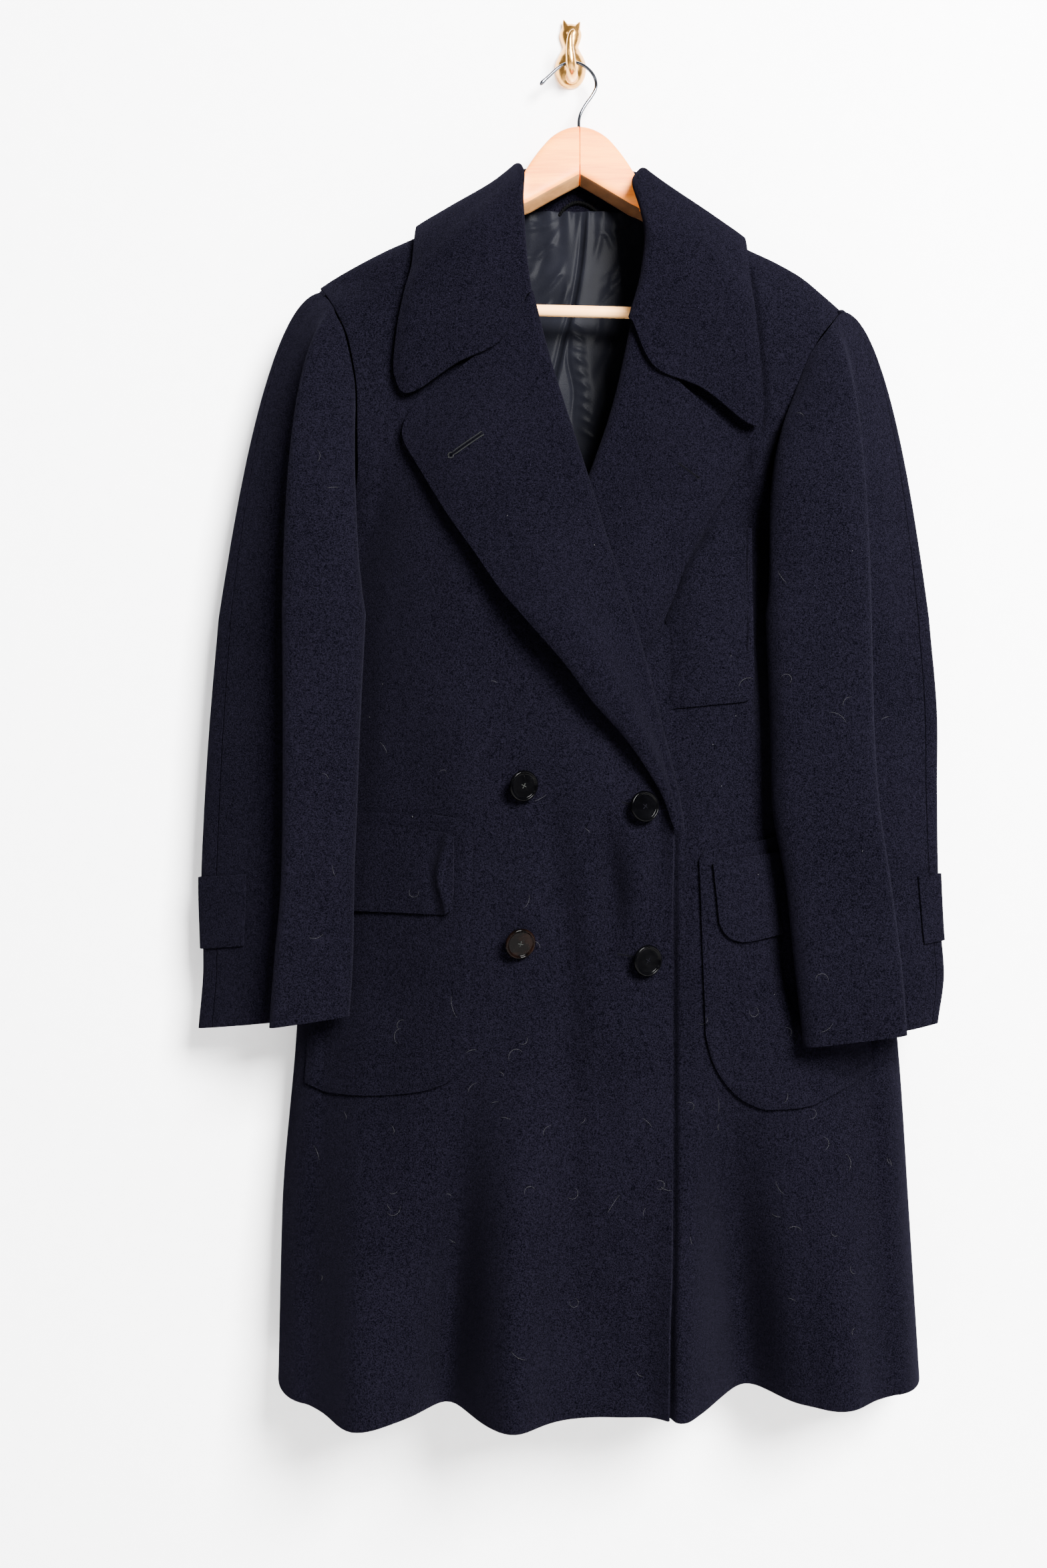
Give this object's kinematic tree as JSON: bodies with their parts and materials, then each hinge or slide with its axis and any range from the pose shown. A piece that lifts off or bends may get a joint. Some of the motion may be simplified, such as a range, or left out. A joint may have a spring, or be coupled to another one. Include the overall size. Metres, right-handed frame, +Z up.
{
  "type": "wool coat on a wooden hanger and a wall hook",
  "caption": "Double-breasted wool coat with wide lapels and patch pockets, hung on a wooden hanger from a small cat-shaped wall hook.",
  "frame": {"origin": "middle of the wall hook's flat back, on the wall plane, where the hook is fixed", "axes": "+Z up, +Y into the wall, +X to the right of someone who looks at the coat's front"},
  "size_m": [0.6596, 0.1868, 1.2452],
  "materials": {
    "wool": "dark navy melton wool with a short nap",
    "lining": "near-black satin",
    "loop_cord": "black ribbed cord",
    "button": "polished near-black",
    "wood": "clear satin lacquer on pale beech",
    "hanger_steel": "bright plated steel wire",
    "hook_gold": "satin gold"
  },
  "bodies": {
    "root": {"front_over": "wool", "front_under": "wool", "back_right": "wool", "back_left": "wool", "lapel_over": "wool", "lapel_under": "wool", "collar": "wool", "sleeve_top_right": "wool", "sleeve_under_right": "wool", "sleeve_top_left": "wool", "sleeve_under_left": "wool", "cuff_tab_right": "wool", "cuff_tab_left": "wool", "pocket_over": "wool", "pocket_under": "wool", "pocket_breast": "wool", "flap_over": "wool", "flap_under": "wool", "lining_back": "lining", "hang_loop": "loop_cord", "button_1": "button", "button_2": "button", "button_3": "button", "button_4": "button", "hanger_right": "wood", "hanger_left": "wood", "hanger_bar": "wood", "hanger_wire": "hanger_steel", "wall_hook": "hook_gold"}
  },
  "joints": []
}
